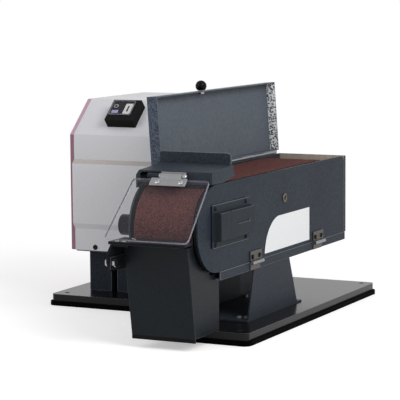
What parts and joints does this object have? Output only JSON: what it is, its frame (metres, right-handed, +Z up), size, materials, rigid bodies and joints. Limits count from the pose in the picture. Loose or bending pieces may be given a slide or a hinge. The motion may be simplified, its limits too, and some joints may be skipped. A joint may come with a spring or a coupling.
{
  "type": "belt grinder",
  "caption": "Bench belt grinder: hooded belt unit with work rest, clear shield, side door and hinged top lid, driven by a motor in a box housing on an L-shaped base.",
  "frame": {"origin": "middle of the bounding box in plan, on the floor", "axes": "+X to the right seen from the work rest, +Y from the work rest to the rear, +Z up"},
  "size_m": [0.482, 0.718, 0.3974],
  "materials": {
    "base_gloss": "glossy black enamel",
    "black_rubber": "matt rubber",
    "frame_paint": "fine-texture anthracite powder coat",
    "door_paint": "fine-texture anthracite powder coat",
    "box_paint": "fine-texture dark powder coat",
    "lid_paint": "grey-blue powder coat with hammertone edges",
    "rest_paint": "satin black",
    "zinc_steel": "zinc-plated steel",
    "bright_steel": "bright plated steel",
    "tilt_pin": "blued steel",
    "dark_steel": "turned steel",
    "brass_yellow": "plated brass",
    "bare_label": "bare white film",
    "black_plastic": "polished black plastic",
    "black_metal": "black oxide",
    "cast_aluminium": "turned aluminium",
    "tyre_rubber": "moulded rubber",
    "abrasive": "coated abrasive cloth",
    "clear_sheet": "clear polycarbonate",
    "motor_paint": "machinery enamel",
    "housing_white": "semi-gloss light grey enamel",
    "panel_red": "dark red enamel",
    "switch_grey": "moulded switch case",
    "button_grey": "light grey plastic"
  },
  "bodies": {
    "frame": {"base_plate": "base_gloss", "base_edging": "black_rubber", "motor_pedestal": "frame_paint", "unit_pedestal": "frame_paint", "pedestal_bolts": "zinc_steel", "floor_tray": "frame_paint", "unit_frame": "frame_paint", "frame_hinge_leaves": "zinc_steel", "door_hinge_pins": "zinc_steel", "latch_post": "dark_steel", "hood": "frame_paint", "stop_plate": "frame_paint", "wall_hinge_leaf": "zinc_steel", "lid_hinge_pin": "zinc_steel", "disc_springs": "dark_steel", "grinding_belt": "abrasive", "belt_platen": "dark_steel", "spark_box": "box_paint", "rest_carrier": "rest_paint", "rest_bolt": "bright_steel", "shield_bracket": "bright_steel", "shield_pin": "tilt_pin", "motor_stator": "motor_paint", "motor_end_shields": "cast_aluminium", "housing_cover": "housing_white", "left_end_panel": "panel_red", "right_end_panel": "panel_red", "housing_screws": "bright_steel", "switch_box": "switch_grey", "switch_window": "clear_sheet"},
    "door": {"side_door": "door_paint", "door_seal": "black_rubber", "door_hinge_leaves": "zinc_steel", "door_hinge_screws": "bright_steel", "inspection_cover": "door_paint", "inspection_screws": "bright_steel", "label_plate": "bare_label"},
    "door_latch": {"door_latch": "brass_yellow"},
    "lid": {"top_lid": "lid_paint", "lid_hinge_leaf": "zinc_steel", "lid_knob": "black_plastic", "knob_stud": "bright_steel"},
    "carriage": {"tension_carriage": "black_metal", "tension_rod": "bright_steel", "wheel_axle": "dark_steel"},
    "wheel": {"wheel_hub": "cast_aluminium", "wheel_tyre": "tyre_rubber", "wheel_bearings": "dark_steel"},
    "rotor": {"motor_rotor": "dark_steel", "motor_fan": "black_plastic", "drive_drum": "cast_aluminium", "drum_nut": "dark_steel"},
    "rest": {"rest_table": "rest_paint", "rest_leg": "rest_paint", "rest_screws": "bright_steel"},
    "shield": {"shield": "clear_sheet", "shield_arm": "bright_steel", "shield_screws": "bright_steel"},
    "on_button": {"on_button": "button_grey"},
    "off_button": {"off_button": "black_plastic"}
  },
  "joints": [
    {"name": "lid_hinge", "type": "hinge", "parent": "frame", "child": "lid", "pos_m": [0.0665, 0, 0.255], "axis": [0, 1, 0], "range_deg": [0, 93.8]},
    {"name": "door_hinge", "type": "hinge", "parent": "frame", "child": "door", "pos_m": [0.2, 0, 0.114], "axis": [0, 1, 0], "range_deg": [0, 90]},
    {"name": "latch_turn", "type": "hinge", "parent": "door", "child": "door_latch", "pos_m": [0.195, 0.022, 0.205], "axis": [1, 0, 0], "range_deg": [0, 90]},
    {"name": "tension_slide", "type": "slide", "parent": "frame", "child": "carriage", "axis": [0, 0.9989, 0.0477], "range_m": [0, 0.006], "stiffness_N_per_m": 5000, "springref_m": -0.004},
    {"name": "wheel_spin", "type": "hinge", "parent": "carriage", "child": "wheel", "pos_m": [0.131, -0.219, 0.1805], "axis": [1, 0, 0], "continuous": true},
    {"name": "drum_spin", "type": "hinge", "parent": "frame", "child": "rotor", "pos_m": [0.131, 0.2, 0.2005], "axis": [1, 0, 0], "continuous": true},
    {"name": "rest_slide", "type": "slide", "parent": "frame", "child": "rest", "axis": [0, -1, 0], "range_m": [0, 0.02]},
    {"name": "shield_tilt", "type": "hinge", "parent": "frame", "child": "shield", "pos_m": [0.131, -0.2575, 0.2645], "axis": [-1, 0, 0], "range_deg": [0, 70]},
    {"name": "on_press", "type": "slide", "parent": "frame", "child": "on_button", "axis": [0, 0.6658, -0.7461], "range_m": [0, 0.003], "stiffness_N_per_m": 400},
    {"name": "off_press", "type": "slide", "parent": "frame", "child": "off_button", "axis": [0, 0.6658, -0.7461], "range_m": [0, 0.003], "stiffness_N_per_m": 400}
  ],
  "couplings": [
    {"joint": "wheel_spin", "follows": "drum_spin", "ratio": 0.71631}
  ]
}
